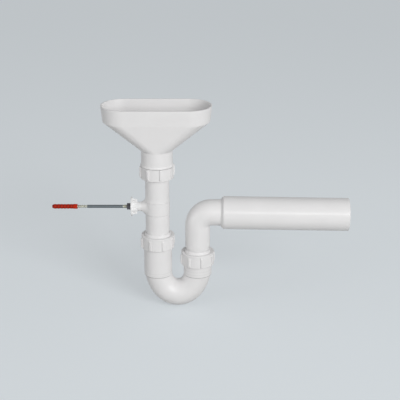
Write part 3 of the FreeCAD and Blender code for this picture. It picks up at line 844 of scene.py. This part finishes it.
step_from = elbow_leg + bend_length + stub_length
step_to = step_from + reducer_length
elbow_end = step_to + spigot_length
tube_r = spigot_r - elbow_growth
elbow_outline = filled(eased([
    (pipe_bore_r, 0.0, edge_cut), (pipe_r, 0.0, end_cut),
    (pipe_r, step_from, reducer_cut), (tube_r, step_to, spigot_cut),
    (tube_r, elbow_end - spigot_chamfer, edge_cut), (tube_r - spigot_chamfer, elbow_end, edge_cut),
    (tube_r - spigot_wall, elbow_end, edge_cut), (tube_r - spigot_wall, step_to, reducer_cut),
    (pipe_r - elbow_wall, step_from, reducer_cut),
]), elbow_row_step)
elbow_d = elbow_outline[:, 1]
swell_from = outlet_mouth + lip_top - elbow_leg_low
above_nut = np.clip((elbow_d - swell_from) / elbow_swell_length, 0, 1)
round_bend = (1 - np.cos(np.pi * np.clip((elbow_d - elbow_leg) / bend_length, 0, 1))) / 2
elbow_r = elbow_outline[:, 0] + elbow_swell * above_nut + (elbow_growth - elbow_swell) * round_bend
skinned("outlet_elbow_spigot", carried(elbow_r, elbow_d, elbow_path, around(pipe_columns)),
        white_polypropylene, "outlet_elbow", polish=elbow_d > step_to)

# Funnel. The hopper that takes the washing machine's hose: an oval band drawn in to a round neck,
# moulded with the threaded end that its nut pulls down on the standpipe.
funnel_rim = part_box("funnel")[1][2] / MM
funnel_half = 51.5
funnel_wall = 2.4
funnel_lift = 1.15
funnel_row_step = 2.0
funnel_arc_points = 73
funnel_flat_points = 18
rim_r = 39.0
rim_cut = 0.7
foot_r = 36.0
foot_z = 148.2
fold_cut = 1.0
inner_fold_cut = 2.5
neck_r = 26.0
neck_bore_r = 23.0
neck_top = 99.0
neck_low = 72.8
neck_bead_r = 27.6
neck_bead = 3.3
neck_bead_edge = 0.5
neck_ledge = 4.0
throat_cut = 1.2
funnel_male_end = 58.3


def oval_grid(outline, arc_points, flat_points):
    """An oval carried along an outline of (half length of the flats, end radius, height): the point
    at angle t and side s is x = s * half + radius * cos t, y = radius * sin t. Round each end t
    runs half a turn, and along the flats s runs from one end to the other."""
    right = np.linspace(-np.pi / 2, np.pi / 2, arc_points)
    flat = np.linspace(1, -1, flat_points)[1:-1]
    back, front = np.full_like(flat, np.pi / 2), np.full_like(flat, 3 * np.pi / 2)
    turn = np.concatenate([right, back, right + np.pi, front])
    side = np.concatenate([np.ones_like(right), flat, -np.ones_like(right), -flat])
    half, radius, height = outline[:, 0:1], outline[:, 1:2], outline[:, 2:3]
    return np.stack([pipe_x + half * side + radius * np.cos(turn), radius * np.sin(turn),
                     height + 0 * turn], -1)


funnel_outline = filled(eased([
    (0.0, male_seat_r, funnel_male_end, soft_cut), (0.0, male_r, funnel_male_end, edge_cut),
    (0.0, male_r, neck_low, edge_cut), (0.0, neck_bead_r, neck_low, mouth_cut),
    (0.0, neck_bead_r, neck_low + neck_bead_edge, soft_cut), (0.0, neck_r, neck_low + neck_bead, edge_cut),
    (0.0, neck_r, neck_top, fold_cut), (funnel_half, foot_r, foot_z, fold_cut),
    (funnel_half, rim_r, funnel_rim, rim_cut), (funnel_half, rim_r - funnel_wall, funnel_rim, rim_cut),
    (funnel_half, foot_r - funnel_wall, foot_z + funnel_lift, inner_fold_cut),
    (0.0, neck_bore_r, neck_top + funnel_lift, throat_cut),
    (0.0, neck_bore_r, neck_low + neck_ledge, root_cut), (0.0, socket_bore_r, neck_low, root_cut),
    (0.0, socket_bore_r, funnel_male_end + male_seat, root_cut),
]), funnel_row_step)
skinned("funnel_hopper", oval_grid(funnel_outline, funnel_arc_points, funnel_flat_points),
        white_polypropylene, "funnel")

# Stage. A wide pale floor under the U-bend, a large soft light to the right of the camera, a weaker
# one to its left, a small one behind the camera that the spigot mirrors, and an even sky. The camera
# looks down by 20 degrees from two metres away. Lengths here are in metres.
floor_z = cad_box[0][2] - 1 * MM
floor_half = 12.0
floor_near, floor_far = 0.8, 2.4
floor_bounce = "#C4C4C3"
floor_near_tone, floor_far_tone = "#A9AEB1", "#666A6D"
floor_glow = "#EDF3F7"
near_glow, far_glow = 0.44, 0.55
sky_tone = "#FBFCFD"
sky_light, sky_seen = 0.327, 0.62
aim = np.array([0.2037, 0.0, 0.0113])
lamp_distance = 4.2
soft_side = 1.93
camera_place = (0.2037, -1.8687, 0.7025)
camera_fall = np.radians(20.3)
camera_lens = 108.0
camera_sensor = 36.0


def seen_share(tree):
    """1 for what the camera sees directly, mirrored or through glass, 0 for what lights the object."""
    ray = add_node(tree, "ShaderNodeLightPath", {}).outputs
    seen = add_node(tree, "ShaderNodeMath", {0: ray["Is Camera Ray"], 1: ray["Is Glossy Ray"]},
                    operation="MAXIMUM")
    return add_node(tree, "ShaderNodeMath", {0: seen.outputs[0], 1: ray["Is Transmission Ray"]},
                    operation="MAXIMUM").outputs[0]


def floor_paint(name):
    """Matt floor paint. As it is seen it glows a little over a darker tone, so that it looks pale and
    keeps the shadow; both change with the distance from the origin, which evens the lamps' fall-off."""
    material, tree, place = bare_material(name)
    seen = seen_share(tree)
    away = add_node(tree, "ShaderNodeVectorMath", {0: place}, operation="LENGTH").outputs["Value"]
    far = add_node(tree, "ShaderNodeMapRange", {
        "Value": away, "From Min": floor_near, "From Max": floor_far}).outputs["Result"]
    shown = add_node(tree, "ShaderNodeMix", {0: far, 6: linear(floor_near_tone), 7: linear(floor_far_tone)},
                     data_type="RGBA")
    tone = add_node(tree, "ShaderNodeMix", {0: seen, 6: linear(floor_bounce), 7: shown.outputs[2]},
                    data_type="RGBA")
    paint = add_node(tree, "ShaderNodeBsdfDiffuse", {"Color": tone.outputs[2]})
    even = add_node(tree, "ShaderNodeMapRange", {"Value": far, "To Min": near_glow, "To Max": far_glow})
    strength = add_node(tree, "ShaderNodeMath", {0: seen, 1: even.outputs["Result"]}, operation="MULTIPLY")
    glow = add_node(tree, "ShaderNodeEmission", {
        "Color": linear(floor_glow), "Strength": strength.outputs[0]})
    both = add_node(tree, "ShaderNodeAddShader", {0: paint.outputs["BSDF"], 1: glow.outputs["Emission"]})
    add_node(tree, "ShaderNodeOutputMaterial", {"Surface": both.outputs["Shader"]})
    return material


floor_corners = floor_half * np.array([(-1, -1, 0), (1, -1, 0), (1, 1, 0), (-1, 1, 0)]) + (0, 0, floor_z)
floor_mesh = bpy.data.meshes.new("floor")
floor_mesh.from_pydata(floor_corners, [], [(0, 1, 2, 3)])
floor_mesh.materials.append(floor_paint("studio_floor_paint"))
floor = bpy.data.objects.new("floor", floor_mesh)
bpy.context.collection.objects.link(floor)

world = bpy.data.worlds.new("even_sky")
world.use_nodes = True
world.node_tree.nodes.clear()
sky_strength = add_node(world.node_tree, "ShaderNodeMapRange", {
    "Value": seen_share(world.node_tree), "To Min": sky_light, "To Max": sky_seen}).outputs["Result"]
sky = add_node(world.node_tree, "ShaderNodeBackground", {"Color": linear(sky_tone), "Strength": sky_strength})
add_node(world.node_tree, "ShaderNodeOutputWorld", {"Surface": sky.outputs["Background"]})
bpy.context.scene.world = world

# Each lamp's name, power, turn to the right of the front, rise in degrees, width and height.
for name, energy, light_turn, light_rise, width, height in (
        ("soft_key", 106.5, 33.0, 22.0, soft_side, soft_side),
        ("soft_fill", 34.5, -60.0, 8.0, soft_side, soft_side),
        ("soft_strip", 9.8, 6.0, 21.0, 1.1, 0.5)):
    lamp = bpy.data.lights.new(name, "AREA")
    lamp.shape = "RECTANGLE"
    lamp.size = width
    lamp.size_y = height
    lamp.energy = energy
    turn, rise = np.radians(light_turn), np.radians(light_rise)
    towards = np.array([np.sin(turn) * np.cos(rise), -np.cos(turn) * np.cos(rise), np.sin(rise)])
    lamp_object = bpy.data.objects.new(name, lamp)
    lamp_object.location = aim + lamp_distance * towards
    lamp_object.rotation_euler = (np.pi / 2 - rise, 0.0, turn)
    bpy.context.collection.objects.link(lamp_object)

camera = bpy.data.cameras.new("camera")
camera.lens = camera_lens
camera.sensor_width = camera_sensor
camera_object = bpy.data.objects.new("camera", camera)
camera_object.location = camera_place
camera_object.rotation_euler = (np.pi / 2 - camera_fall, 0.0, 0.0)
bpy.context.collection.objects.link(camera_object)
bpy.context.scene.camera = camera_object
bpy.context.scene.view_settings.view_transform = "Standard"
